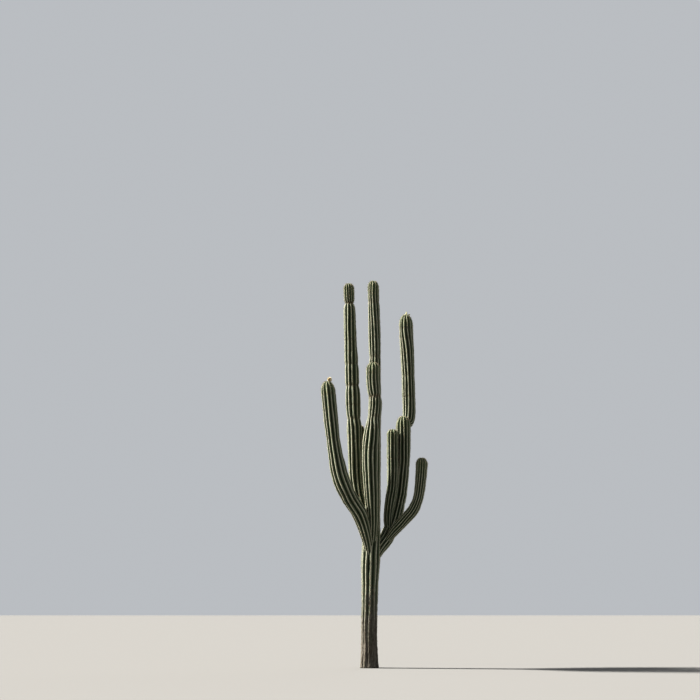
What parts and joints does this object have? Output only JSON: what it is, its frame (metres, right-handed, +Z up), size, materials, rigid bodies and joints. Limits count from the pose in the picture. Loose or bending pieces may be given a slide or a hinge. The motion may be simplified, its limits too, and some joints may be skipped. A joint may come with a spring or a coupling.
{
  "type": "giant columnar cactus",
  "caption": "Tall columnar desert cactus: a stout trunk with ribbed upright arms fanned round it, pinched growth joints, domed tips and spiny ribs, rooted at a flat cut at ground level.",
  "frame": {"origin": "centre of the trunk's flat cut at ground level", "axes": "+Z up along the trunk, +X to the right and +Y to the back, seen from the side that the reference view shows"},
  "size_m": [3.2815, 2.9087, 12.057],
  "materials": {
    "trunk_skin": "matte, waxy green above, grey corky bark at the foot",
    "arm_skin": "matte waxy skin, dusty grey-green",
    "areole_felt": "matte felt",
    "spines": "matte horn",
    "fruit": "matte, bristly"
  },
  "bodies": {
    "root": {"trunk": "trunk_skin", "far_left_arm_foot": "arm_skin", "far_left_arm": "arm_skin", "left_tall_arm_foot": "arm_skin", "left_tall_arm": "arm_skin", "front_arm_foot": "arm_skin", "front_arm": "arm_skin", "right_arm_foot": "arm_skin", "right_arm": "arm_skin", "right_tall_arm": "arm_skin", "inner_right_arm": "arm_skin", "far_right_arm_foot": "arm_skin", "far_right_arm": "arm_skin", "rear_left_arm_foot": "arm_skin", "rear_left_arm": "arm_skin"}
  },
  "joints": []
}
